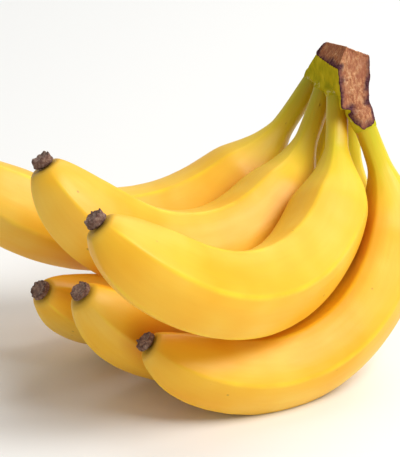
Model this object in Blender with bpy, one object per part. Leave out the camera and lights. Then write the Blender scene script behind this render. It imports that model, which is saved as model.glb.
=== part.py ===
"""A bunch of six bananas, cut from the stalk as one cluster and laid down on its outer curve.

The fingers hang in two rows from one crown: three inner fingers, which carry their tips high, and three
outer fingers, which lie on the table. Each finger is a five-sided, softly rounded sweep along a curved
spine, from a slim stem through a swelling neck to a blunt end with a dry blossom remnant on it.
Metres, +Z up. The origin is at the middle of the footprint, on the table. +X points from the tips
to the crown, and the fingers fan out along Y.
"""

from collections import namedtuple
import math

import bmesh
import bpy
import numpy as np
from mathutils import Matrix, Vector

# ---------------------------------------------------------------- driving dimensions (metres, degrees)

GIRTH_RADIUS = 0.018        # a full finger at its middle
STEM_RADIUS = 0.0048        # a stem where it leaves the crown
INNER_STEM = 0.028          # stem length of the inner row
OUTER_STEM = 0.026          # stem length of the outer row
INNER_NECK_BEND = 8.0       # how far the neck turns towards the tip side
OUTER_NECK_BEND = 20.0
NECK_LENGTH = 0.034         # the stem swells to full girth over this length
SHOULDER_LENGTH = 0.040     # the finger closes to its blunt end over this length
BLUNT_SHARE = 0.27          # radius of the blunt end, as a share of the finger's
END_TAPER = 0.66            # 0.5 closes the end like a dome, 1.0 like a cone
END_LEAN = 0.0024           # the end's middle lies this far towards the outer side of the curve
END_SLIMMING = 0.07         # how much slimmer a finger is towards its ends than at its middle
RIDGE_HEIGHT = 0.03         # how far the five ridges stand out, as a share of the radius

STEM_PITCH = 0.018          # distance between neighbouring stems of one row
ROW_STAGGER = 0.014         # the outer row's shift towards the near end
ROW_STEP_OUT = 0.006        # the outer row's seats lie this far behind the inner row's
ROW_STEP_DOWN = 0.007       # and this far below them
ROW_TURN = 15.0             # the crown's own turn about the vertical
ROW_SLOPE = -11.0           # the crown dips towards its far end

CROWN_WIDTH = 0.0150        # across the crown
CROWN_THICKNESS = 0.0162    # from the stems' roots to the cut on top
CROWN_FAR_MARGIN = 0.0055   # crown left beyond the farthest stem's middle
CROWN_NEAR_MARGIN = 0.0035  # crown left beyond the nearest stem's middle, at the end cut
CROWN_ROUNDING = 0.0055
CROWN_FAR_TAPER = 0.25      # the far end is this much slimmer
TOP_CUT_TILT = -5.0         # the top cut rises towards the near end
TOP_CUT_FALL = 24.0         # and falls towards the outer row
SIDE_CUT_INSET = 0.0058     # a third cut starts this far towards the inner row from the crown's middle
SIDE_CUT_FALL = 62.0        # and falls towards the inner row
END_CUT_TILT = 8.0          # the end cut leans towards the outer row
BACK_START = 0.0338         # the crown's far end starts to fall this far behind the end cut
BACK_FALL = 37.5            # how steeply it falls
BACK_TURN = 45.0            # and how far it turns towards the inner row
STEM_BITE = 0.005           # a stem's root runs this far into the crown
ROOT_FLARE = 0.0018         # and widens by this much there

BLOSSOM_RADIUS = 0.0046
BLOSSOM_LENGTH = 0.0036
BLOSSOM_TAPER = 0.92        # its outer face, as a share of its root
BLOSSOM_OVERHANG = 0.0006   # how far the blossom end stands beyond the finger's nominal length

REST_PRESS = 0.0011         # the lowest finger is flattened this much where it lies on the table
GAP = 0.0003                # clearance between pieces that touch
SQUEEZE_GAP = 0.0007        # clearance where two round fingers are pressed against each other

SIDES = 20
STEM_RINGS = 4
BODY_RINGS = 17
SHOULDER_RINGS = 8
SPINE_STEPS = 150

# Each finger: its row, its place along the row in stem pitches, the compass heading of its curl
# (0 is -X, 90 is -Y), how far the stem dives along that heading, its sideways lean,
# its length beyond the stem, how far it curls, its sideways sweep, and its girth as a share.
Finger = namedtuple("Finger", "name row place heading dive lean length curl sweep girth")
FINGERS = (
    Finger("inner_near", "inner", -1, 48, 31.0, 31, 0.177, 119, 3, 1.00),
    Finger("inner_middle", "inner", 0, 30, 33.5, 21, 0.160, 118, 1, 1.00),
    Finger("inner_far", "inner", 1, 14, 38.0, 13, 0.173, 94, 0, 1.01),
    Finger("outer_near", "outer", -1, 26, -13.5, 23, 0.178, 127, -3, 0.92),
    Finger("outer_middle", "outer", 0, 32, 0.5, 9, 0.187, 124, -2, 0.95),
    Finger("outer_far", "outer", 1, 32, 6.5, -6, 0.179, 105, 2, 0.89),
)


# ---------------------------------------------------------------- helpers

def smooth(x):
    """A soft step from 0 to 1."""
    x = min(max(x, 0.0), 1.0)
    return x * x * (3.0 - 2.0 * x)


def material(name, colour, roughness):
    """A plain, non-metallic surface."""
    mat = bpy.data.materials.new(name)
    mat.use_nodes = True
    shader = mat.node_tree.nodes["Principled BSDF"]
    shader.inputs["Base Color"].default_value = (*colour, 1.0)
    shader.inputs["Roughness"].default_value = roughness
    shader.inputs["Metallic"].default_value = 0.0
    return mat


def add_object(name, bm, mat):
    """Turn a bmesh into a smooth-shaded object of its own."""
    mesh = bpy.data.meshes.new(name)
    bm.to_mesh(mesh)
    bm.free()
    mesh.materials.append(mat)
    mesh.shade_smooth()
    mesh.set_sharp_from_angle(angle=math.radians(40))
    obj = bpy.data.objects.new(name, mesh)
    bpy.context.scene.collection.objects.link(obj)
    return obj


def as_cutter(obj):
    """Keep a helper solid out of the finished model."""
    obj.hide_render = True
    obj.display_type = "WIRE"
    return obj


def combine(obj, other, operation):
    """Join or cut with an exact Boolean."""
    modifier = obj.modifiers.new(other.name, "BOOLEAN")
    modifier.operation = operation
    modifier.solver = "EXACT"
    modifier.object = other


# ---------------------------------------------------------------- the crown's own frame

turn = math.radians(ROW_TURN)
slope = math.radians(ROW_SLOPE)
ALONG = Vector((-math.sin(turn) * math.cos(slope), math.cos(turn) * math.cos(slope), math.sin(slope)))
ACROSS = Vector((math.cos(turn), math.sin(turn), 0.0))
UPWARD = ACROSS.cross(ALONG)


def seat(finger):
    """Where a finger's stem leaves the crown."""
    point = ALONG * (finger.place * STEM_PITCH)
    if finger.row == "outer":
        point = point - ALONG * ROW_STAGGER + ACROSS * ROW_STEP_OUT
        point.z -= ROW_STEP_DOWN
    return point


# ---------------------------------------------------------------- finger spines

class Spine:
    """The middle line of one finger with its frames and radii, from the root in the crown to the tip."""

    def __init__(self, finger):
        self.finger = finger
        outer = finger.row == "outer"
        self.stem = OUTER_STEM if outer else INNER_STEM
        self.neck_bend = math.radians(OUTER_NECK_BEND if outer else INNER_NECK_BEND)
        self.length = self.stem + finger.length
        self.radius = GIRTH_RADIUS * finger.girth
        self.root = seat(finger)
        heading = math.radians(finger.heading)
        forward = Vector((-math.cos(heading), -math.sin(heading), 0.0))
        down = Matrix.Rotation(math.radians(finger.lean), 3, forward) @ Vector((0.0, 0.0, -1.0))
        dive = math.radians(finger.dive)
        self.start = down * math.cos(dive) + forward * math.sin(dive)
        inward = forward * math.cos(dive) - down * math.sin(dive)
        self.walk(inward)

    def walk(self, inward):
        """Step along the spine, turning a little at each step."""
        step = self.length / SPINE_STEPS
        neck = [self.neck_turn(i * step) for i in range(SPINE_STEPS)]
        body = [self.body_turn(i * step) for i in range(SPINE_STEPS)]
        neck_sum, body_sum = sum(neck), sum(body)
        curl = math.radians(self.finger.curl)
        sweep = math.radians(self.finger.sweep)
        point, tangent, normal = self.root.copy(), self.start.copy(), inward.copy()
        self.points, self.tangents, self.normals = [point.copy()], [tangent.copy()], [normal.copy()]
        for n, b in zip(neck, body):
            side = tangent.cross(normal)
            bend = self.neck_bend * n / neck_sum + curl * b / body_sum
            turned = (tangent + normal * bend + side * (sweep * b / body_sum)).normalized()
            point += (tangent + turned) * (step / 2)
            normal = (normal - turned * normal.dot(turned)).normalized()
            tangent = turned
            self.points.append(point.copy())
            self.tangents.append(tangent.copy())
            self.normals.append(normal.copy())

    def neck_turn(self, s):
        """The neck bends most just past the stem."""
        x = (s - self.stem - 0.008) / 0.030
        return (1 + math.cos(math.pi * x)) / 2 if abs(x) < 1 else 0.0

    def body_turn(self, s):
        """The body curls evenly, easing in and out over 25 mm at its ends."""
        return smooth((s - self.stem) / 0.025) * smooth((self.length - s) / 0.025)

    def radius_at(self, s):
        """Radius of the finger, or of its root flaring out inside the crown."""
        if s < 0:
            return STEM_RADIUS + ROOT_FLARE * smooth(-s / 0.012)
        swell = smooth((s - self.stem + 0.006) / NECK_LENGTH)
        along_body = min(max((s - self.stem) / self.finger.length, 0.0), 1.0)
        slim = 1 - END_SLIMMING * (1 - math.sin(math.pi * along_body))
        closing = min(max((self.peel_end - s) / SHOULDER_LENGTH, 0.0), 1.0)
        blunt = BLUNT_SHARE + (1 - BLUNT_SHARE) * (1 - (1 - closing) ** 2.2) ** END_TAPER
        full = STEM_RADIUS + (self.radius * slim - STEM_RADIUS) * swell
        return full * blunt

    @property
    def peel_end(self):
        """Where the peel ends and the blossom end begins."""
        return self.length + BLOSSOM_OVERHANG - BLOSSOM_LENGTH - GAP

    def frame(self, s):
        """Point, tangent and inward normal at a distance along the spine."""
        if s < 0:
            return self.root + self.start * s, self.tangents[0], self.normals[0]
        x = min(s / self.length, 1.0) * SPINE_STEPS
        i = min(int(x), SPINE_STEPS - 1)
        f = x - i
        point = self.points[i].lerp(self.points[i + 1], f)
        if s > self.length:
            point = point + self.tangents[-1] * (s - self.length)
        tangent = self.tangents[i].lerp(self.tangents[i + 1], f).normalized()
        normal = self.normals[i].lerp(self.normals[i + 1], f).normalized()
        lean = END_LEAN * smooth(1 - (self.peel_end - s) / SHOULDER_LENGTH)
        return point - normal * lean, tangent, normal

    def samples(self, start, end, spacing=0.0015):
        """Points and bounding radii along a stretch, for keeping neighbours clear."""
        count = max(int((end - start) / spacing), 2)
        stations = [start + (end - start) * i / count for i in range(count + 1)]
        points = np.array([self.frame(s)[0] for s in stations])
        radii = np.array([self.radius_at(s) * (1 + RIDGE_HEIGHT) for s in stations])
        return points, radii


def squeeze(centre, direction, radius, bound, neighbours):
    """Shorten a radius until the point lies on this finger's side of the middle between two fingers."""
    def is_clear(reach):
        point = np.array(centre + direction * reach)
        room = min(float((np.linalg.norm(points - point, axis=1) - radii).min())
                   for points, radii in neighbours)
        return room - (reach - bound) >= SQUEEZE_GAP

    if is_clear(radius):
        return radius
    low, high = 0.3 * radius, radius
    for _ in range(12):
        middle = (low + high) / 2
        if is_clear(middle):
            low = middle
        else:
            high = middle
    return low


def sweep(spine, stations, neighbours):
    """A closed five-ridged tube through the given distances along a spine."""
    bm = bmesh.new()
    ring = bmesh.ops.create_circle(bm, cap_ends=False, segments=SIDES, radius=1.0)["verts"]
    edges = list({edge for vert in ring for edge in vert.link_edges})
    first = bm.faces.new(ring)
    for index, s in enumerate(stations):
        if index:
            grown = bmesh.ops.extrude_edge_only(bm, edges=edges)["geom"]
            # The new ring keeps the old one's order, so each corner is matched by its own edge.
            partner = {}
            for vert in grown:
                if isinstance(vert, bmesh.types.BMVert):
                    for edge in vert.link_edges:
                        other = edge.other_vert(vert)
                        if other in ring:
                            partner[other] = vert
            ring = [partner[vert] for vert in ring]
            edges = [bm.edges.get((ring[k], ring[k - 1])) for k in range(SIDES)]
        centre, tangent, normal = spine.frame(s)
        side = tangent.cross(normal)
        bound = spine.radius_at(s) * (1 + RIDGE_HEIGHT)
        ridge = RIDGE_HEIGHT * smooth(s / spine.stem) if s > 0 else 0.0
        for k, vert in enumerate(ring):
            angle = 2 * math.pi * k / SIDES
            direction = normal * math.cos(angle) + side * math.sin(angle)
            # A flat face looks inward, so the ridges run at 36 degrees to either side of it.
            radius = spine.radius_at(s) * (1 - ridge * math.cos(5 * angle))
            vert.co = centre + direction * squeeze(centre, direction, radius, bound, neighbours)
    bm.faces.new(ring)
    bm.faces.remove(first)
    bm.verts.ensure_lookup_table()
    bm.faces.new([bm.verts[k] for k in range(SIDES)])
    bmesh.ops.recalc_face_normals(bm, faces=bm.faces)
    return bm


# ---------------------------------------------------------------- build

for old in list(bpy.data.objects):
    bpy.data.objects.remove(old, do_unlink=True)

peel = material("ripe_peel", (0.93, 0.60, 0.07), 0.45)
dry = material("dry_blossom", (0.09, 0.05, 0.03), 0.9)
crown_skin = material("crown", (0.42, 0.33, 0.08), 0.7)

spines = [Spine(finger) for finger in FINGERS]

# The crown's floor clears the roots of the highest stems.
crown_floor = GAP + max(
    spine.root.dot(UPWARD) + STEM_RADIUS * math.sqrt(1 - spine.start.dot(UPWARD) ** 2) for spine in spines)


def root_length(spine):
    """How far a stem's root runs back into the crown."""
    return (crown_floor + STEM_BITE - spine.root.dot(UPWARD)) / -spine.start.dot(UPWARD)


def finger_stations(spine):
    """Rings close together on the neck and the shoulder, wider on the even middle."""
    neck_end = spine.stem * 0.6
    shoulder = spine.peel_end - SHOULDER_LENGTH * 0.8
    stations = [GAP / 2 + (neck_end - GAP / 2) * i / STEM_RINGS for i in range(STEM_RINGS)]
    stations += [neck_end + (shoulder - neck_end) * i / BODY_RINGS for i in range(BODY_RINGS)]
    for i in range(SHOULDER_RINGS + 1):
        closing = 1 - (1 - i / SHOULDER_RINGS) ** 2
        stations.append(shoulder + (spine.peel_end - shoulder) * closing)
    return stations


bodies = {}
for spine in spines:
    others = [other for other in spines if other is not spine]
    name = spine.finger.name
    clear_of = [other.samples(-root_length(other), other.length) for other in others]
    bodies["banana_" + name] = sweep(spine, finger_stations(spine), clear_of)
    bodies["blossom_end_" + name] = bmesh.new()
    point, tangent, normal = spine.frame(spine.peel_end + GAP + BLOSSOM_LENGTH / 2)
    place = Matrix((normal, tangent.cross(normal), tangent)).transposed().to_4x4()
    place.translation = point
    nub = bodies["blossom_end_" + name]
    bmesh.ops.create_cone(nub, cap_ends=True, segments=12, radius1=BLOSSOM_RADIUS,
                          radius2=BLOSSOM_RADIUS * BLOSSOM_TAPER, depth=BLOSSOM_LENGTH, matrix=place)

# The lowest finger presses onto the table.
shift = Vector((0, 0, -min(vert.co.z for bm in bodies.values() for vert in bm.verts) - REST_PRESS))
for bm in bodies.values():
    bmesh.ops.translate(bm, verts=bm.verts, vec=shift)

for name, bm in bodies.items():
    if name.startswith("banana_outer"):
        trimmed = bmesh.ops.bisect_plane(bm, geom=bm.verts[:] + bm.edges[:] + bm.faces[:], dist=1e-7,
                                         plane_co=(0, 0, 0), plane_no=(0, 0, -1), clear_outer=True)
        rim = [edge for edge in trimmed["geom_cut"] if isinstance(edge, bmesh.types.BMEdge)]
        if rim:
            bmesh.ops.contextual_create(bm, geom=rim)
            bmesh.ops.recalc_face_normals(bm, faces=bm.faces)
    add_object(name, bm, dry if name.startswith("blossom") else peel)

# The crown: a rounded pad over the stems, their roots run into it, then three knife cuts
# and the slope at its far end.
near_stem = min(spine.root.dot(ALONG) for spine in spines)
far_stem = max(spine.root.dot(ALONG) for spine in spines)
across_middle = ROW_STEP_OUT / 2
pad_near = near_stem - CROWN_NEAR_MARGIN - CROWN_ROUNDING
pad_far = far_stem + CROWN_FAR_MARGIN
pad_top = crown_floor + CROWN_THICKNESS + 2 * CROWN_ROUNDING
crown_frame = Matrix((ACROSS, ALONG, UPWARD)).transposed().to_4x4()
crown_frame.translation = shift

pad = bmesh.new()
bmesh.ops.create_cube(pad, size=1.0)
bmesh.ops.scale(pad, verts=pad.verts, vec=(CROWN_WIDTH, pad_far - pad_near, pad_top - crown_floor))
bmesh.ops.bevel(pad, geom=pad.edges[:], offset=CROWN_ROUNDING, segments=3, profile=0.5,
                affect="EDGES", material=-1)
bmesh.ops.subdivide_edges(
    pad, cuts=3, use_grid_fill=True,
    edges=[edge for edge in pad.edges if edge.calc_length() > (pad_far - pad_near) / 2])
for vert in pad.verts:
    share = 0.5 + vert.co.y / (pad_far - pad_near)
    vert.co.x *= 1 - CROWN_FAR_TAPER * share ** 2
bmesh.ops.translate(pad, verts=pad.verts, vec=(across_middle, (pad_near + pad_far) / 2,
                                               (crown_floor + pad_top) / 2))
bmesh.ops.transform(pad, verts=pad.verts, matrix=crown_frame)
bmesh.ops.recalc_face_normals(pad, faces=pad.faces)
crown = add_object("crown", pad, crown_skin)

for spine in spines:
    others = [other for other in spines if other is not spine]
    clear_of = [other.samples(0.0, other.length) for other in others]
    length = root_length(spine)
    root = sweep(spine, [-length, -length * 0.66, -length * 0.33, -GAP / 2], clear_of)
    bmesh.ops.translate(root, verts=root.verts, vec=shift)
    combine(crown, as_cutter(add_object("root_" + spine.finger.name, root, crown_skin)), "UNION")

KNIFE = 0.1


def cut(name, place, out):
    """Take everything beyond a plane off the crown; place and outward direction are in its frame."""
    block = bmesh.new()
    bmesh.ops.create_cube(block, size=KNIFE)
    bmesh.ops.translate(block, verts=block.verts, vec=(0, 0, KNIFE / 2))
    turn_to = Vector((0, 0, 1)).rotation_difference(out)
    bmesh.ops.rotate(block, verts=block.verts, matrix=turn_to.to_matrix())
    bmesh.ops.translate(block, verts=block.verts, vec=place)
    bmesh.ops.transform(block, verts=block.verts, matrix=crown_frame)
    combine(crown, as_cutter(add_object(name, block, crown_skin)), "DIFFERENCE")


def rotated(vector, angle, axis):
    turned = Vector(vector)
    turned.rotate(Matrix.Rotation(math.radians(angle), 3, axis))
    return turned


cut_height = crown_floor + CROWN_THICKNESS
end_cut = near_stem - CROWN_NEAR_MARGIN
top_out = rotated(rotated((0, 0, 1), TOP_CUT_FALL, "Y"), TOP_CUT_TILT, "X")
cut("end_knife", (across_middle, end_cut, 0), rotated((0, -1, 0), END_CUT_TILT, "Z"))
cut("top_knife", (across_middle, 0, cut_height), top_out)
cut("side_knife", (across_middle - SIDE_CUT_INSET, 0, cut_height), rotated((0, 0, 1), -SIDE_CUT_FALL, "Y"))
cut("back_slope", (across_middle, end_cut + BACK_START, cut_height),
    rotated(rotated((0, 0, 1), -BACK_FALL, "X"), BACK_TURN, "Z"))

# The middle of the footprint goes over the origin.
grown = [obj for obj in bpy.data.objects if not obj.hide_render]
depsgraph = bpy.context.evaluated_depsgraph_get()
corners = np.array([vert.co for obj in grown for vert in obj.evaluated_get(depsgraph).data.vertices])
low, high = corners.min(axis=0), corners.max(axis=0)
for obj in bpy.data.objects:
    obj.data.transform(Matrix.Translation((-(low[0] + high[0]) / 2, -(low[1] + high[1]) / 2, 0)))
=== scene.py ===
import math

import bmesh
import bpy
import numpy as np
from mathutils import Matrix, Vector, noise
from mathutils.bvhtree import BVHTree
from mathutils.kdtree import KDTree


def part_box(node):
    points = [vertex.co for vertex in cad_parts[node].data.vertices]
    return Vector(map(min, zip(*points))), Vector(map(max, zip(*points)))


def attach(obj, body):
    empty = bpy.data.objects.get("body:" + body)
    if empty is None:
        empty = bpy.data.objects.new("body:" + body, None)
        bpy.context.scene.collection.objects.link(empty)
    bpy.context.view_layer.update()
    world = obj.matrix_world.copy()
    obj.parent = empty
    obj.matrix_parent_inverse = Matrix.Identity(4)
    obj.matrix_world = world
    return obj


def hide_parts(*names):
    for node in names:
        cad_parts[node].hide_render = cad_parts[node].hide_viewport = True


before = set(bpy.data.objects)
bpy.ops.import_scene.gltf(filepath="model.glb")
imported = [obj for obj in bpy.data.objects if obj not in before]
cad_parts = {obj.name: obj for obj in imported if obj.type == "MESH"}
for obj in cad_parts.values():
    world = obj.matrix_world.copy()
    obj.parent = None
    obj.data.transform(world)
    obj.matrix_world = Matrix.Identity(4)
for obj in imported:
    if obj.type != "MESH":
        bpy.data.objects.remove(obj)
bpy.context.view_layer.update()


# ---- The six bananas -------------------------------------------------------------------------------
# Each finger is a whole ripe fruit: a thick, waxy peel drawn over five lengthwise seams. It grew from
# the crown outwards, turned up towards the light, and was pressed against its neighbours, so the stem
# is slim and still green, the middle is full with soft flat faces, and the far end closes bluntly.

ROWS = ("inner", "outer")
PLACES = ("near", "middle", "far")
FINGERS = [row + "_" + place for row in ROWS for place in PLACES]

MARCH_STEP = 0.002          # spacing of the sections that are measured on the frame's finger
MARCH_BASELINE = 4          # sections over which the way ahead is judged
MARCH_START = 0.004         # the first section's way in from the blossom end
MARCH_ROUNDS = 3            # times each section's middle is moved to its centre
MARCH_GAIN = 1.6
MARCH_CLIP = 1.3            # a ray counts as no longer than this share of the middling one
RAYS = 60                   # directions measured in each section
MARCH_RAY = 0.04            # the longest rays that still look for the skin
SKIN_RAY = 0.03
END_RAY = 0.02
TIP_ZONE = 0.012            # the skin within this of the blossom end shows the way the tip points
LINE_BLUR = 2.5             # widths of the soft averages, in sections, rings or rays
CENTRE_BLUR = 2.0
BEND_BLUR = 6.0
ROUND_BLUR = 1.7
LENGTH_BLUR = 2.5
BLUR_PAD = 12
BEND_WINDOW = 30            # rings about the middle that tell which side the banana bends to
EVEN_SHARE = 0.62           # rings lie evenly to this share, and closer towards both ends for the rest
SECTION_MARGIN = 0.0004     # no section is measured nearer to an end
TIP_CLOSING = (0, 0.45, 0.80, 0.96)      # share of the radius in the first rings, and how deep they sink
TIP_SUNK = (0.0012, 0.0009, 0.0003)
STEM_CLOSING = (1, 0.7, 0)               # and in the last ones, which run on into the crown
STEM_SUNK = (0.0012, 0.0015, 0.0015)
WELD = 2e-6                 # points nearer than this are one, at the tube's seam and ends
SKIN_RINGS = 220            # rings of the finished skin, from the blossom end to the stem
SKIN_SIDES = 110
RIDGE_COUNT = 5
RIDGE_BULGE = 0.075         # how far the skin swells towards a seam, as a share of the radius
RIDGE_LINE = 0.014          # and the narrow crest on the seam itself
RIDGE_WIDTH = 0.16
RIDGE_LEVEL = 0.4
TIP_FADE = 0.012            # seams fade out towards the tip and the stem
STEM_FADE = 0.05
STEM_SEAMS = 0.12
LAY_RADIUS = 0.018          # the peel laid out straight, for its patterns
BROAD_LUMPS = (0.00022, 45)  # height, and lumps in a metre
FINE_LUMPS = (0.00007, 170)
SKIN_CLEARANCE = 0.0005     # to the fingers beside it
GAP_SHADE_REACH = 0.012           # nearer than this to its neighbour, the peel gets painted shade


def merged_copy(node):
    """The frame's loose triangles, welded into one closed mesh."""
    bm = bmesh.new()
    bm.from_mesh(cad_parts[node].data)
    bmesh.ops.remove_doubles(bm, verts=bm.verts, dist=1e-6)
    bm.normal_update()
    return bm


def box_middle(node):
    low, high = (Vector(corner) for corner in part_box(node))
    return (low + high) / 2


def skin_near(node, place, reach):
    """The middle of a node's points that lie within reach of a place."""
    near = [Vector(v.co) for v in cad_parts[node].data.vertices if (v.co - place).length < reach]
    return sum(near, Vector((0, 0, 0))) / len(near)


def turned_frame(tangent, normal):
    """Keep a frame square to its tangent without spinning it."""
    normal = (normal - tangent * normal.dot(tangent)).normalized()
    return normal, tangent.cross(normal)


def section_radii(tree, centre, normal, side):
    """Distances from a centre to the skin all the way round, or None outside the fruit."""
    radii = []
    for k in range(RAYS):
        angle = 2 * math.pi * k / RAYS
        direction = normal * math.cos(angle) + side * math.sin(angle)
        place, face_normal, _, distance = tree.ray_cast(centre, direction, MARCH_RAY)
        if place is None or face_normal.dot(direction) < 0:
            return None
        radii.append(distance)
    return radii


def march(node, start, towards):
    """Walk up the inside of a finger from its blossom end, and note each section's middle."""
    bm = merged_copy(node)
    tree = BVHTree.FromBMesh(bm)
    bm.free()
    tangent = towards.normalized()
    centre = start + tangent * MARCH_START
    normal, side = turned_frame(tangent, Vector((0, 0, 1)))
    middles = []
    while True:
        for _ in range(MARCH_ROUNDS):
            radii = section_radii(tree, centre, normal, side)
            if radii is None:
                break
            drift = Vector((0, 0, 0))
            widest = MARCH_CLIP * sorted(radii)[RAYS // 2]
            for k, radius in enumerate(radii):
                angle = 2 * math.pi * k / RAYS
                radius = min(radius, widest)
                drift += (normal * math.cos(angle) + side * math.sin(angle)) * radius
            centre = centre + drift * (MARCH_GAIN / RAYS)
        if radii is None:
            return tree, middles
        if len(middles) >= MARCH_BASELINE:
            tangent = (centre - middles[-MARCH_BASELINE]).normalized()
            normal, side = turned_frame(tangent, normal)
        middles.append(centre.copy())
        centre = centre + tangent * MARCH_STEP


def blur(rows, width, wrap=False):
    """Average along the first axis with a soft window."""
    reach = int(3 * width)
    kernel = np.exp(-0.5 * (np.arange(-reach, reach + 1) / width) ** 2)
    kernel /= kernel.sum()
    flat = rows.reshape(len(rows), -1)
    if wrap:
        padded = np.concatenate([flat[-reach:], flat, flat[:reach]])
    else:
        padded = np.concatenate([2 * flat[0] - flat[reach:0:-1], flat, 2 * flat[-1] - flat[-2:-reach - 2:-1]])
    out = np.stack([np.convolve(padded[:, c], kernel, "valid") for c in range(flat.shape[1])], axis=1)
    return out.reshape(rows.shape)


def ring_of(tree, centre, normal, side):
    """Like section_radii, but a ray that finds nothing takes its neighbour's length."""
    found = []
    for k in range(RAYS):
        angle = 2 * math.pi * k / RAYS
        direction = normal * math.cos(angle) + side * math.sin(angle)
        _, _, _, distance = tree.ray_cast(centre, direction, SKIN_RAY)
        found.append(distance if distance is not None else found[-1])
    return found


def ridge_crest(angle):
    """One on a seam of the peel and nought half way between two seams, measured from the inner side."""
    step = 2 * math.pi / RIDGE_COUNT
    off = (angle - step / 2) % step
    return 1 - 2 * min(off, step - off) / step


def skin_factor(crest):
    """How far the skin stands out on a seam and falls in between."""
    narrow = math.exp(-((1 - crest) / RIDGE_WIDTH) ** 2)
    return 1 + RIDGE_BULGE * (crest ** 2 - RIDGE_LEVEL) + RIDGE_LINE * narrow


def finished(name, bm):
    """A smooth object of that name, at the origin, from a mesh that is done."""
    bmesh.ops.recalc_face_normals(bm, faces=bm.faces)
    mesh = bpy.data.meshes.new(name)
    bm.to_mesh(mesh)
    bm.free()
    mesh.shade_smooth()
    obj = bpy.data.objects.new(name, mesh)
    bpy.context.scene.collection.objects.link(obj)
    return obj


trees = {name: BVHTree.FromBMesh(merged_copy("banana_" + name)) for name in FINGERS}
stems = {}


def grow_skin(name):
    """One finger's peel as a single closed tube of even quads."""
    nub = box_middle("blossom_end_" + name)
    towards = skin_near("banana_" + name, nub, TIP_ZONE) - nub
    tree, middles = march("banana_" + name, nub, towards)
    line = blur(np.array(middles), LINE_BLUR)
    first = Vector(line[0] - line[1]).normalized()
    last = Vector(line[-1] - line[-2]).normalized()
    cap = tree.ray_cast(Vector(line[0]), first, END_RAY)[3]
    seat = tree.ray_cast(Vector(line[-1]), last, END_RAY)[3]
    start, end = Vector(line[0]) + first * cap, Vector(line[-1]) + last * seat
    line = np.vstack([np.array(start), line, np.array(end)])
    walked = np.concatenate([[0], np.cumsum(np.linalg.norm(np.diff(line, axis=0), axis=1))])
    length = walked[-1]

    rows = SKIN_RINGS + 1
    v = np.linspace(0, 1, rows)
    along = length * (EVEN_SHARE * v + (1 - EVEN_SHARE) * (0.5 - 0.5 * np.cos(math.pi * v)))
    closing = np.ones(rows)
    closing[:len(TIP_CLOSING)] = TIP_CLOSING
    closing[-len(STEM_CLOSING):] = STEM_CLOSING
    sunk = np.zeros(rows)
    sunk[:len(TIP_SUNK)] = TIP_SUNK
    sunk[-len(STEM_SUNK):] = STEM_SUNK
    centres = np.stack([np.interp(along, walked, line[:, c]) for c in range(3)], axis=1)
    centres = blur(centres, CENTRE_BLUR)
    tangents = np.gradient(centres, axis=0)
    tangents /= np.linalg.norm(tangents, axis=1)[:, None]
    bend = np.gradient(blur(tangents, BEND_BLUR), axis=0)
    stems[name] = (Vector(line[-1]), last)
    middle = rows // 2
    normal = Vector(bend[middle - BEND_WINDOW:middle + BEND_WINDOW].sum(axis=0))
    frames = [None] * rows
    frames[middle] = turned_frame(Vector(tangents[middle]), normal)
    for j in list(range(middle + 1, rows)) + list(range(middle - 1, -1, -1)):
        before = frames[j - 1] if j > middle else frames[j + 1]
        frames[j] = turned_frame(Vector(tangents[j]), before[0])
    measured = np.clip(along, SECTION_MARGIN, length - SECTION_MARGIN)
    spots = np.stack([np.interp(measured, walked, line[:, c]) for c in range(3)], axis=1)
    radii = np.array([ring_of(tree, Vector(spots[j]), *frames[j]) for j in range(rows)])
    radii = blur(radii.T.copy(), ROUND_BLUR, wrap=True).T
    padded = np.pad(radii, ((BLUR_PAD, BLUR_PAD), (0, 0)), mode="edge")
    radii = blur(padded, LENGTH_BLUR)[BLUR_PAD:-BLUR_PAD]

    bm = bmesh.new()
    bmesh.ops.create_grid(bm, x_segments=SKIN_SIDES, y_segments=SKIN_RINGS, size=1.0)
    straight = bm.verts.layers.float_vector.new("straightened")
    along_layer = bm.verts.layers.float_vector.new("along")
    gap_shade_layer = bm.verts.layers.float.new("gap_shade")
    seed = Vector((FINGERS.index(name) * 7.3, 1.7, 4.1))
    others = [trees[other] for other in FINGERS if other != name]
    angles = np.arange(RAYS + 1) * 2 * math.pi / RAYS
    for vert in bm.verts:
        u = (vert.co.x + 1) / 2
        j = round((vert.co.y + 1) / 2 * SKIN_RINGS)
        angle = (2 * math.pi * u + math.pi) % (2 * math.pi)
        s = along[j]
        from_stem = length - s
        radius = float(np.interp(angle, angles, np.append(radii[j], radii[j][0])))
        crest = ridge_crest(angle)
        fade = min(1, s / TIP_FADE) * min(1, STEM_SEAMS + from_stem / STEM_FADE)
        normal, side = frames[j]
        out = normal * math.cos(angle) + side * math.sin(angle)
        lay = Vector((LAY_RADIUS * math.cos(angle), LAY_RADIUS * math.sin(angle), s))
        lumps = sum(size * noise.noise(lay * number + seed) for size, number in (BROAD_LUMPS, FINE_LUMPS))
        radius = radius * (1 + (skin_factor(crest) - 1) * fade) + lumps * fade
        radius *= closing[j]
        place = Vector(centres[j]) + out * radius + Vector(tangents[j]) * sunk[j]
        gap = GAP_SHADE_REACH
        if closing[j] == 1:
            for other in others:
                hit, face_normal, _, distance = other.find_nearest(place, GAP_SHADE_REACH)
                if hit is None:
                    continue
                clear = distance if face_normal.dot(place - hit) > 0 else -distance
                gap = min(gap, max(clear, 0))
                if clear < SKIN_CLEARANCE:
                    place -= out * (SKIN_CLEARANCE - clear)
        # how near a neighbouring finger lies, which sets the painted shade in the gaps
        vert[gap_shade_layer] = 1 - gap / GAP_SHADE_REACH
        place.z = max(place.z, 0.0)
        vert.co = place
        vert[straight] = lay + Vector((0, 0, seed.x))
        vert[along_layer] = (from_stem, s, crest)
    bmesh.ops.remove_doubles(bm, verts=bm.verts, dist=WELD)
    return finished("peel_" + name, bm)


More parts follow.
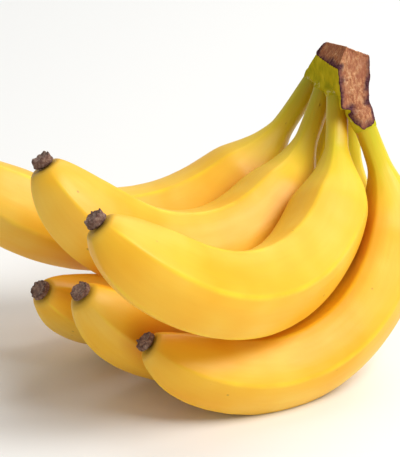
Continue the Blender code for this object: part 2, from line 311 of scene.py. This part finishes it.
def colour(code):
    """An sRGB hex code as linear light."""
    parts = [int(code[i:i + 2], 16) / 255 for i in (1, 3, 5)]
    return [c / 12.92 if c <= 0.04045 else ((c + 0.055) / 1.055) ** 2.4 for c in parts] + [1.0]


def add_node(tree, kind, links=None, **values):
    """One shader node: its properties, then its sockets, by name or number."""
    node = tree.nodes.new(kind)
    for key, value in values.items():
        setattr(node, key, value)
    for socket, value in (links or {}).items():
        if isinstance(value, bpy.types.NodeSocket):
            tree.links.new(value, node.inputs[socket])
        else:
            node.inputs[socket].default_value = value
    return node


def ramp(tree, value, stops):
    """Turn a number from nought to one into a colour, or into another number."""
    node = add_node(tree, "ShaderNodeValToRGB", {0: value})
    while len(node.color_ramp.elements) < len(stops):
        node.color_ramp.elements.new(0.5)
    for element, (position, shade) in zip(node.color_ramp.elements, sorted(stops)):
        element.position = position
        element.color = colour(shade) if isinstance(shade, str) else [shade, shade, shade, 1.0]
    return node.outputs[0]


def blend_colour(tree, factor, first, second):
    """Mix two colours. The mixing node's colour sockets go by number."""
    node = add_node(tree, "ShaderNodeMix", {0: factor, 6: first, 7: second}, data_type="RGBA")
    return node.outputs[2]


def calculate(tree, operation, first, second=0.0, third=0.0):
    node = add_node(tree, "ShaderNodeMath", {0: first, 1: second, 2: third}, operation=operation)
    return node.outputs[0]


def stretched(tree, vector, scale):
    return add_node(tree, "ShaderNodeMapping", {"Vector": vector, "Scale": scale}).outputs[0]


def noise_at(tree, vector, scale, detail=3.0, roughness=0.5):
    return add_node(tree, "ShaderNodeTexNoise", {"Vector": vector, "Scale": scale, "Detail": detail,
                                                 "Roughness": roughness}).outputs[0]


def new_material(name):
    mat = bpy.data.materials.new(name)
    mat.use_nodes = True
    return mat, mat.node_tree, mat.node_tree.nodes["Principled BSDF"]


# The waxy skin of a ripe dessert banana: clear yellow, green towards the stem, tan beside the dry flower.
ripe_peel, tree, shader = new_material("ripe_banana_peel")
lay = add_node(tree, "ShaderNodeAttribute", attribute_name="straightened").outputs["Vector"]
along = add_node(tree, "ShaderNodeAttribute", attribute_name="along").outputs["Vector"]
along = add_node(tree, "ShaderNodeSeparateXYZ", {0: along}).outputs
from_stem, from_tip, crest = along[0], along[1], along[2]
# Clouds of ripeness about 35 mm across, and streaks 2.4 mm wide and ten times as long.
cloud = noise_at(tree, lay, 28.0, 2.0)
streaks = noise_at(tree, stretched(tree, lay, (1, 1, 0.10)), 420.0, 4.0, 0.6)
wander = calculate(tree, "MULTIPLY_ADD", cloud, 0.030, -0.015)
body = ramp(tree, cloud, [(0.30, "#F9B418"), (0.50, "#FCC230"), (0.72, "#FED150")])
stem_share = calculate(tree, "DIVIDE", calculate(tree, "ADD", from_stem, wander), 0.1)
stem_tint = ramp(tree, stem_share, [(0.0, "#BCB81E"), (0.10, "#CEC420"), (0.22, "#E0CE26"), (0.36, "#F2D030"),
                                    (0.55, "#F9C634"), (0.80, "#FCC332")])
stem_weight = ramp(tree, stem_share, [(0.0, 1.0), (0.45, 0.85), (0.85, 0.0)])
skin = blend_colour(tree, stem_weight, body, stem_tint)
skin = blend_colour(tree, calculate(tree, "MULTIPLY", ramp(tree, streaks, [(0.35, 0.0), (0.75, 1.0)]), 0.18),
                    skin, colour("#F4A915"))
# The seams stay a clearer yellow, worn through in places of about 17 mm, and end before the stem.
crest_line = calculate(tree, "MULTIPLY", ramp(tree, crest, [(0.84, 0.0), (0.97, 1.0)]),
                       ramp(tree, calculate(tree, "DIVIDE", from_stem, 0.1), [(0.35, 0.0), (0.75, 1.0)]))
worn = ramp(tree, noise_at(tree, lay, 60.0, 3.0), [(0.35, 0.0), (0.65, 1.0)])
skin = blend_colour(tree, calculate(tree, "MULTIPLY", calculate(tree, "MULTIPLY", crest_line, worn), 0.6),
                    skin, colour("#FFDC2E"))
# A few brown flecks: one cell in fifty of 4 mm has one.
cells = add_node(tree, "ShaderNodeTexVoronoi", {"Vector": lay, "Scale": 260.0})
speck = ramp(tree, cells.outputs["Distance"], [(0.10, 1.0), (0.20, 0.0)])
chosen = ramp(tree, add_node(tree, "ShaderNodeSeparateXYZ", {0: cells.outputs["Color"]}).outputs[0],
              [(0.978, 0.0), (0.985, 1.0)])
skin = blend_colour(tree, calculate(tree, "MULTIPLY", calculate(tree, "MULTIPLY", speck, chosen), 0.55),
                    skin, colour("#9A6A22"))
# Painted shade: deeper orange where the fingers lie close together, standing for the shade in the gaps. And a
# tan ring at the dead flower.
gap_nearness = add_node(tree, "ShaderNodeAttribute", attribute_name="gap_shade").outputs["Fac"]
painted_gap_shade = ramp(tree, gap_nearness, [(0.10, 0.0), (0.60, 0.40), (0.92, 0.90)])
# painted shade in the gaps between the fingers, deepest where they nearly touch
skin = blend_colour(tree, painted_gap_shade, skin, colour("#D47C08"))
tip_way = calculate(tree, "MULTIPLY_ADD", wander, 0.04, from_tip)
tip_share = calculate(tree, "DIVIDE", tip_way, 0.005)
tip_tint = ramp(tree, tip_share, [(0.0, "#84642C"), (0.10, "#B8923C"), (0.28, "#DBAE38"), (0.60, "#F3C038")])
tip_weight = ramp(tree, tip_share, [(0.0, 1.0), (0.25, 0.8), (0.95, 0.0)])
skin = blend_colour(tree, tip_weight, skin, tip_tint)
tree.links.new(skin, shader.inputs["Base Color"])
rough = calculate(tree, "MULTIPLY_ADD", streaks, 0.14, 0.36)
tree.links.new(rough, shader.inputs["Roughness"])
shader.inputs["Specular IOR Level"].default_value = 0.38
shader.inputs["Subsurface Weight"].default_value = 0.04
shader.inputs["Subsurface Radius"].default_value = (1.0, 0.55, 0.12)
shader.inputs["Subsurface Scale"].default_value = 0.004
# Pores of 0.7 mm, coarser than the real ones so that they show.
pores = noise_at(tree, lay, 1500.0, 2.0)
relief = calculate(tree, "MULTIPLY_ADD", pores, 0.35, calculate(tree, "MULTIPLY", streaks, 0.65))
bump = add_node(tree, "ShaderNodeBump", {"Strength": 0.35, "Distance": 0.00025, "Height": relief})
tree.links.new(bump.outputs[0], shader.inputs["Normal"])

for name in FINGERS:
    peel = grow_skin(name)
    peel.data.materials.append(ripe_peel)
    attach(peel, "root")
    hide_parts("banana_" + name)


# ---- The crown ------------------------------------------------------------------------------------
# The pad of tissue that held the fingers on the stalk. Its green skin runs over smoothly from stem to
# stem. Where the knife went through, the fibrous inside has dried to a rusty tan, and the skin round
# the cut has shrunk into a dark, slightly curled lip.

CROWN_VOXEL = 0.00055        # the grid on which the pad, collars and webs are fused
CROWN_SOFTENING = 9          # rounds of smoothing that fuse the stems' roots
CUT_SOFTENING = 4            # and that round off the knife's edges
SHARE_ROUNDS = 2
SHARE_MIX = 0.6
SAME_WAY = 0.95              # faces that look this much alike, within one depth, are one flat
PATCH_DEPTH = 0.002
END_CUT = Vector((0.386, -0.903, 0.189))      # where the three cut faces look
TOP_CUT = Vector((0.328, 0.348, 0.878))
SIDE_CUT = Vector((-0.876, -0.142, 0.461))
STUB_OUT = 0.0045            # how far the crown's skin runs down each stem
STEM_THICKNESS = 0.0048
STUB_BACK = 0.003            # and how far up into it
COLLAR_SWELL = 0.0011        # a collar is thicker than the stem at its root and slips under the peel's end
COLLAR_TUCK = 0.0012
LOBE_SWELL_ROOT = 0.0012
LOBE_SWELL_END = 0.0003
LOBE_SPARE = 0.001
WEB_LIFT = 0.0095
WEB_START = -0.0008
WEB_SHARE = 0.9
CUT_CATCH = 0.0009           # skin this near behind a cut is pressed onto it too
COLLAR_ROOM = 0.002          # round a stem, what still counts as its collar
SCAR_RADIUS = 0.0062
FIBRE_WAY = Vector((-0.049, 0.184, 0.982))
FIBRE_STRETCH = 0.82
LIP_WIDTH = 0.0012
LIP_HEIGHT = 0.0007
LOBE_REACH = 0.0062          # the dried cut also runs this far down the nearest stem
LOBE_HALF_WIDTH = 1.25       # as an angle round that stem
LOBE_SWELL = 0.0022          # that stem's front stands out beyond the cut
SWELL_START = 0.004
SKIRT_CORNERS = ((-0.0060, -0.002), (-0.0062, 0.0118), (0.0, 0.0100), (0.0050, 0.0120), (0.0052, 0.0))
SKIRT_DEPTH = 0.0016         # the cut's foot between the two nearest stems: across, down, and how thick
FIBRE_DEPTH = 0.00045
CUT_SINK = 0.0004            # the dried inside has sunk by this
SKIN_RELIEF = 0.00012


def biggest_flat(bm, out):
    """The plane of the largest flat patch that looks one way: a point on it and its normal."""
    patches = {}
    for face in bm.faces:
        if face.normal.dot(out) > SAME_WAY:
            middle = face.calc_center_median()
            key = round(middle.dot(out) / PATCH_DEPTH)
            patches.setdefault(key, []).append((face.calc_area(), middle, face.normal.copy()))
    best = max(patches.values(), key=lambda patch: sum(part[0] for part in patch))
    area = sum(part[0] for part in best)
    point = sum((part[1] * part[0] for part in best), Vector((0, 0, 0))) / area
    normal = sum((part[2] * part[0] for part in best), Vector((0, 0, 0))).normalized()
    return point, normal


def stem_stub(bm, seat, inward, back, out, inner_radius, outer_radius):
    """A cone round a stem, from inside the crown to a little way down the stem."""
    place = inward.to_track_quat("Z", "Y").to_matrix().to_4x4()
    place.translation = seat + inward * (back - out) / 2
    bmesh.ops.create_cone(bm, cap_ends=True, segments=24, radius1=outer_radius, radius2=inner_radius,
                          depth=back + out, matrix=place)


def add_hull(bm, filling):
    """Join the filling's tight skin to the rest."""
    hull = bmesh.ops.convex_hull(filling, input=filling.verts[:])
    bmesh.ops.delete(filling, geom=[g for g in set(hull["geom_interior"] + hull["geom_unused"])
                                    if isinstance(g, bmesh.types.BMVert)], context="VERTS")
    mesh = bpy.data.meshes.new("filling")
    filling.to_mesh(mesh)
    filling.free()
    bm.from_mesh(mesh)
    bpy.data.meshes.remove(mesh)


def soften(bm, rounds, factor):
    """Let every point sink towards its neighbours' middle."""
    for _ in range(rounds):
        bmesh.ops.smooth_vert(bm, verts=bm.verts, factor=factor, use_axis_x=True, use_axis_y=True,
                              use_axis_z=True)
    bm.normal_update()


def web(bm, names, lift):
    """The flesh that fills the room between the stems of one row, up into the pad."""
    filling = bmesh.new()
    radius = STEM_THICKNESS * WEB_SHARE
    for name in names:
        seat, inward = stems[name]
        stem_stub(filling, seat, inward, lift, WEB_START, radius, radius)
    add_hull(bm, filling)


pad = merged_copy("crown")
cut_planes = [biggest_flat(pad, out) for out in (END_CUT, TOP_CUT, SIDE_CUT)]
for name in FINGERS:
    seat, inward = stems[name]
    stem_stub(pad, seat, inward, STUB_BACK, STUB_OUT,
              STEM_THICKNESS + COLLAR_SWELL, STEM_THICKNESS - COLLAR_TUCK)
lobe_seat, lobe_inward = stems["outer_near"]
stem_stub(pad, lobe_seat, lobe_inward, STUB_BACK, LOBE_REACH + LOBE_SPARE,
          STEM_THICKNESS + LOBE_SWELL_ROOT, STEM_THICKNESS + LOBE_SWELL_END)
cut_middle, cut_out = cut_planes[0]
cut_across = Vector((0, 0, 1)).cross(cut_out).normalized()
cut_down = cut_across.cross(cut_out)
skirt = bmesh.new()
for across, down in SKIRT_CORNERS:
    corner = Matrix.Translation(cut_middle + cut_across * across + cut_down * down - cut_out * SKIRT_DEPTH)
    bmesh.ops.create_icosphere(skirt, subdivisions=2, radius=SKIRT_DEPTH, matrix=corner)
add_hull(pad, skirt)
for row in ROWS:
    web(pad, [row + "_" + place for place in PLACES], WEB_LIFT)
mesh = bpy.data.meshes.new("crown_rough")
pad.to_mesh(mesh)
pad.free()
rough = bpy.data.objects.new("crown_rough", mesh)
bpy.context.scene.collection.objects.link(rough)
remesh = rough.modifiers.new("even_skin", "REMESH")
remesh.mode = "VOXEL"
remesh.voxel_size = CROWN_VOXEL
bm = bmesh.new()
bm.from_object(rough, bpy.context.evaluated_depsgraph_get())
bpy.data.objects.remove(rough, do_unlink=True)
bpy.data.meshes.remove(mesh)

soften(bm, CROWN_SOFTENING, 0.6)

# Cut faces: everything beyond a knife's plane is pressed back onto it. The stem below the first cut
# stands out past it, so there the dried face runs on over the stem and ends in a ragged lobe.
on_cut = {}
front, _ = turned_frame(lobe_inward, cut_planes[0][1])
for vert in bm.verts:
    down = -(vert.co - lobe_seat).dot(lobe_inward)
    sideways = (vert.co - lobe_seat) + lobe_inward * down
    round_stem = sideways.length < STEM_THICKNESS + COLLAR_ROOM
    swell = LOBE_SWELL * min(1, max(0, 1 + down / SWELL_START)) if round_stem else 0
    for k, (point, normal) in enumerate(cut_planes):
        height = (vert.co - point).dot(normal) - (swell if k == 0 else 0)
        if height > -CUT_CATCH and not (round_stem and down > 0):
            vert.co -= normal * height
            on_cut[vert.index] = k
    if round_stem and -STUB_BACK < down < LOBE_REACH:
        turn_away = sideways.angle(front) / LOBE_HALF_WIDTH
        ragged = 0.3 * noise.noise(vert.co * 380)
        if down / LOBE_REACH < 1 - turn_away ** 2.5 + ragged and turn_away < 1.1:
            on_cut.setdefault(vert.index, 0)
soften(bm, CUT_SOFTENING, 0.5)

# How much of each point belongs to the cut, evened out a little, and how far it lies from the skin.
shares = {vert.index: float(vert.index in on_cut) for vert in bm.verts}
for _ in range(SHARE_ROUNDS):
    around = {vert.index: sum(shares[edge.other_vert(vert).index] for edge in vert.link_edges)
              / len(vert.link_edges) for vert in bm.verts}
    shares = {index: share + SHARE_MIX * (around[index] - share) for index, share in shares.items()}
skin_points = [vert.co.copy() for vert in bm.verts if vert.index not in on_cut]
skin_tree = KDTree(len(skin_points))
for k, point in enumerate(skin_points):
    skin_tree.insert(point, k)
skin_tree.balance()
marks = bm.verts.layers.float_vector.new("marks")
moves = []
for vert in bm.verts:
    seat_distance = min(abs((vert.co - seat).dot(inward)) + max(0, (vert.co - seat).length - SCAR_RADIUS)
                        for seat, inward in stems.values())
    if vert.index in on_cut:
        normal = cut_planes[on_cut[vert.index]][1]
        inside = skin_tree.find(vert.co)[2]
        lay = vert.co - FIBRE_WAY * (vert.co.dot(FIBRE_WAY) * FIBRE_STRETCH)
        fibre = noise.noise(lay * 1100) * 0.6 + noise.noise(lay * 420) * 0.7
        chips = noise.noise(vert.co * 260)
        lip = math.exp(-(inside / LIP_WIDTH) ** 2)
        calm = min(1, inside / LIP_WIDTH)
        rise = calm * (FIBRE_DEPTH * (fibre + 0.6 * chips) - CUT_SINK) + LIP_HEIGHT * lip * (1 + 0.5 * chips)
        moves.append((vert, normal * rise))
        vert[marks] = (shares[vert.index], inside, seat_distance)
    else:
        gentle = SKIN_RELIEF * noise.noise(vert.co * 300)
        moves.append((vert, vert.normal * gentle))
        vert[marks] = (shares[vert.index], 0.0, seat_distance)
for vert, move in moves:
    vert.co += move
crown = finished("crown_pad", bm)

# Green skin, whose wax has no gloss here, and on the cuts dry fibres from rust to tan inside a dark
# purple-brown lip.
crown_skin, tree, shader = new_material("green_crown_and_dried_cut")
place = add_node(tree, "ShaderNodeTexCoord").outputs["Object"]
marks = add_node(tree, "ShaderNodeAttribute", attribute_name="marks").outputs["Vector"]
marks = add_node(tree, "ShaderNodeSeparateXYZ", {0: marks}).outputs
cut_share, inside, seat_distance = marks[0], marks[1], marks[2]
# Patches of 6 mm, fibres 1.2 mm thick and twice as long, and crumbs of 0.7 mm.
broad = noise_at(tree, place, 160.0, 3.0)
grain = noise_at(tree, stretched(tree, place, (1, 1, 0.5)), 800.0, 6.0, 0.75)
fine = noise_at(tree, place, 1500.0, 3.0, 0.6)
green = ramp(tree, broad, [(0.25, "#9C9A1C"), (0.45, "#B9B224"), (0.60, "#C8BE2C"), (0.78, "#D8CA3C")])
# Pale dots of dried latex round each stem's root.
scar = ramp(tree, calculate(tree, "DIVIDE", seat_distance, 0.0020), [(0.0, 1.0), (0.8, 0.0)])
dots = ramp(tree, noise_at(tree, place, 900.0, 2.0), [(0.48, 0.0), (0.62, 1.0)])
green = blend_colour(tree, calculate(tree, "MULTIPLY", calculate(tree, "MULTIPLY", scar, dots), 0.55),
                     green, colour("#E6E6B4"))
flesh = ramp(tree, grain, [(0.30, "#7A4636"), (0.44, "#AC6E4E"), (0.55, "#D2996E"), (0.70, "#EEC6A0")])
flesh = blend_colour(tree, ramp(tree, broad, [(0.40, 0.0), (0.62, 0.75)]), flesh, colour("#A2664E"))
edge_way = calculate(tree, "ADD", inside, calculate(tree, "MULTIPLY_ADD", broad, 0.0080, -0.0042))
rim = ramp(tree, calculate(tree, "DIVIDE", edge_way, 0.004), [(0.20, 1.0), (0.70, 0.0)])
flesh = blend_colour(tree, rim, flesh, ramp(tree, fine, [(0.35, "#472A30"), (0.65, "#6E474C")]))
# The line between skin and cut wanders by about a millimetre.
edge_noise = calculate(tree, "MULTIPLY_ADD", noise_at(tree, place, 500.0, 3.0), 0.7, -0.35)
cut_share = ramp(tree, calculate(tree, "ADD", cut_share, edge_noise), [(0.38, 0.0), (0.50, 1.0)])
both = blend_colour(tree, cut_share, green, flesh)
tree.links.new(both, shader.inputs["Base Color"])
tree.links.new(calculate(tree, "MULTIPLY_ADD", cut_share, 0.42, 0.40), shader.inputs["Roughness"])
shader.inputs["Specular IOR Level"].default_value = 0.0
shader.inputs["Subsurface Weight"].default_value = 0.02
shader.inputs["Subsurface Radius"].default_value = (1.0, 0.7, 0.2)
shader.inputs["Subsurface Scale"].default_value = 0.003
green_relief = calculate(tree, "MULTIPLY", noise_at(tree, place, 350.0, 3.0), 0.5)
cut_relief = calculate(tree, "MULTIPLY_ADD", fine, 0.5, grain)
height = calculate(tree, "ADD", calculate(tree, "MULTIPLY", cut_relief, cut_share), green_relief)
bump = add_node(tree, "ShaderNodeBump", {"Strength": 0.7, "Distance": 0.0006, "Height": height})
tree.links.new(bump.outputs[0], shader.inputs["Normal"])
crown.data.materials.append(crown_skin)
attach(crown, "root")
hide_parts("crown")


# ---- The blossom ends ---------------------------------------------------------------------------------
# What is left of the flower on each tip: a short stub of dead fibres, nearly black outside and greyer
# in its sunken middle. It dried on the plant, so its rim is ragged and pulls up into little ears where
# the five seams of the peel run out.

STUB_PROFILE = (             # way along the skin, share of the radius, share of the length
    (0.00, 0.00, -0.35), (0.08, 0.75, -0.35), (0.17, 1.03, -0.12), (0.24, 1.10, 0.04), (0.38, 1.02, 0.35),
    (0.54, 1.00, 0.75), (0.62, 0.97, 0.98), (0.67, 0.90, 1.05), (0.73, 0.78, 0.92), (0.86, 0.42, 0.74),
    (1.00, 0.00, 0.68))
ROOT_ZONE = 0.009            # the peel within this of the stub shows which way it points
STUB_SHARE = 0.90            # it has shrunk from the size it had on the plant
STUB_STAND = {"inner": 0.85, "outer": 0.55}      # and more of it broke away on the lower bananas
STUB_SIDES = 96
STUB_RINGS = 48
RIM_WAY = 0.66               # where the rim lies along the profile
RIM_WIDTH = 0.11
LOBE_SHARE = 0.10            # how far the outline wanders from round
RAG_SHARE = 0.05
EAR_SHARE = 0.12
FIBRE_RELIEF = 0.00022
EAR_HEIGHT = 0.0010
RAG_HEIGHT = 0.0007
GRIT = 0.00018


def dry_stub(name):
    bm = merged_copy("blossom_end_" + name)
    middle = box_middle("blossom_end_" + name)
    away = (middle - skin_near("banana_" + name, middle, ROOT_ZONE)).normalized()
    axis = max(bm.faces, key=lambda face: face.normal.dot(away)).normal.copy()
    heights = [v.co.dot(axis) for v in bm.verts]
    length = max(heights) - min(heights)
    root = middle - axis * length / 2
    radius = max(((v.co - middle) - axis * (v.co - middle).dot(axis)).length for v in bm.verts)
    bm.free()
    normal, side = turned_frame(axis, middle - box_middle("banana_" + name))
    seed = Vector((FINGERS.index(name) * 5.1, 2.2, 0.7))
    way, wide, high = (np.array(column) for column in zip(*STUB_PROFILE))
    bm = bmesh.new()
    bmesh.ops.create_grid(bm, x_segments=STUB_SIDES, y_segments=STUB_RINGS, size=1.0)
    marks = bm.verts.layers.float_vector.new("marks")
    for vert in bm.verts:
        u = (vert.co.x + 1) / 2
        v = (vert.co.y + 1) / 2
        angle = 2 * math.pi * u
        round_way = Vector((math.cos(angle), math.sin(angle), 0))
        r = float(np.interp(v, way, wide)) * radius * STUB_SHARE
        h = float(np.interp(v, way, high)) * length * STUB_STAND[name.split("_")[0]]
        outer = min(1, v / 0.2)
        rim = math.exp(-((v - RIM_WAY) / RIM_WIDTH) ** 2)
        lobes = noise.noise(round_way * 1.1 + seed)
        ears = max(0, math.cos(RIDGE_COUNT * (angle + 0.6 * lobes))) ** 2
        ears *= 0.5 + noise.noise(round_way * 0.9 - seed)
        fibres = noise.noise(round_way * 7 + seed + Vector((0, 0, v * 2)))
        ragged = noise.noise(round_way * 3.1 + seed * 2)
        r *= 1 + outer * (LOBE_SHARE * lobes + RAG_SHARE * ragged) + rim * EAR_SHARE * ears
        r += FIBRE_RELIEF * fibres * min(1, r / 0.002)
        h += rim * (EAR_HEIGHT * ears + RAG_HEIGHT * ragged)
        rough = noise.noise((round_way * r + Vector((0, 0, h))) * 900 + seed)
        vert.co = root + (normal * math.cos(angle) + side * math.sin(angle)) * r + axis * (h + GRIT * rough)
        vert[marks] = (v, float(fibres), r / radius)
    bmesh.ops.remove_doubles(bm, verts=bm.verts, dist=WELD)
    return finished("dry_flower_" + name, bm)


# Dead flower tissue: almost black at the foot and rim, brown and ash grey in the sunken middle.
dead_flower, tree, shader = new_material("dead_flower_fibre")
place = add_node(tree, "ShaderNodeTexCoord").outputs["Object"]
marks = add_node(tree, "ShaderNodeAttribute", attribute_name="marks").outputs["Vector"]
marks = add_node(tree, "ShaderNodeSeparateXYZ", {0: marks}).outputs
# Clumps of 1.4 mm and threads of half a millimetre.
clumps = noise_at(tree, place, 700.0, 4.0, 0.65)
threads = noise_at(tree, place, 2200.0, 3.0, 0.6)
wood = ramp(tree, clumps, [(0.30, "#3A2622"), (0.46, "#6E5046"), (0.58, "#A08474"), (0.72, "#CBB3A2")])
zone = ramp(tree, marks[0], [(0.18, "#3E2630"), (0.34, "#76543F"), (0.58, "#64443C"), (0.66, "#3A2624"),
                             (0.80, "#8A7268")])
wood = blend_colour(tree, 0.5, wood, zone)
wood = blend_colour(tree, calculate(tree, "MULTIPLY", ramp(tree, threads, [(0.55, 0.0), (0.75, 1.0)]), 0.35),
                    wood, colour("#B8A596"))
tree.links.new(wood, shader.inputs["Base Color"])
shader.inputs["Roughness"].default_value = 0.85
shader.inputs["Specular IOR Level"].default_value = 0.25
bump = add_node(tree, "ShaderNodeBump", {"Strength": 0.8, "Distance": 0.0005, "Height": clumps})
tree.links.new(bump.outputs[0], shader.inputs["Normal"])

for name in FINGERS:
    stub = dry_stub(name)
    stub.data.materials.append(dead_flower)
    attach(stub, "root")
    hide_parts("blossom_end_" + name)


# ---- The stage ----------------------------------------------------------------------------------------
# A pale table top that runs past the view on all sides, a large soft light high on the right and one
# behind that puts a sheen on the tops, and a long lens from the front, a little above.

FLOOR_SIZE = 6.0
LENS = 225.1
CAMERA_PLACE = (0.0086, -1.1108, 0.5615)
CAMERA_TILT = 66.0

bm = bmesh.new()
bmesh.ops.create_grid(bm, x_segments=2, y_segments=2, size=FLOOR_SIZE / 2)
mesh = bpy.data.meshes.new("table_top")
bm.to_mesh(mesh)
bm.free()
floor = bpy.data.objects.new("table_top", mesh)
bpy.context.scene.collection.objects.link(floor)
white_paper, tree, shader = new_material("matt_white_paper")
shader.inputs["Base Color"].default_value = colour("#F4F4F2")
shader.inputs["Roughness"].default_value = 0.9
floor.data.materials.append(white_paper)

world = bpy.data.worlds.new("soft_white_room")
world.use_nodes = True
world.node_tree.nodes["Background"].inputs["Color"].default_value = (1.0, 0.99, 0.97, 1.0)
world.node_tree.nodes["Background"].inputs["Strength"].default_value = 0.38
bpy.context.scene.world = world


def soft_light(name, place, aim, size, power):
    data = bpy.data.lights.new(name, "AREA")
    data.shape = "DISK"
    data.size = size
    data.energy = power
    lamp = bpy.data.objects.new(name, data)
    lamp.location = place
    lamp.rotation_euler = (Vector(aim) - Vector(place)).to_track_quat("-Z", "Y").to_euler()
    bpy.context.scene.collection.objects.link(lamp)


soft_light("key_above", (0.85, -0.50, 1.25), (0, 0, 0.05), 0.9, 19)
soft_light("sheen_behind", (0.55, 0.90, 1.2), (0, 0, 0.05), 1.3, 9)

camera_data = bpy.data.cameras.new("camera")
camera_data.lens = LENS
camera_data.sensor_width = 36.0
camera = bpy.data.objects.new("camera", camera_data)
camera.location = CAMERA_PLACE
camera.rotation_euler = (math.radians(CAMERA_TILT), 0, 0)
bpy.context.scene.collection.objects.link(camera)
bpy.context.scene.camera = camera
bpy.context.scene.view_settings.view_transform = "Standard"
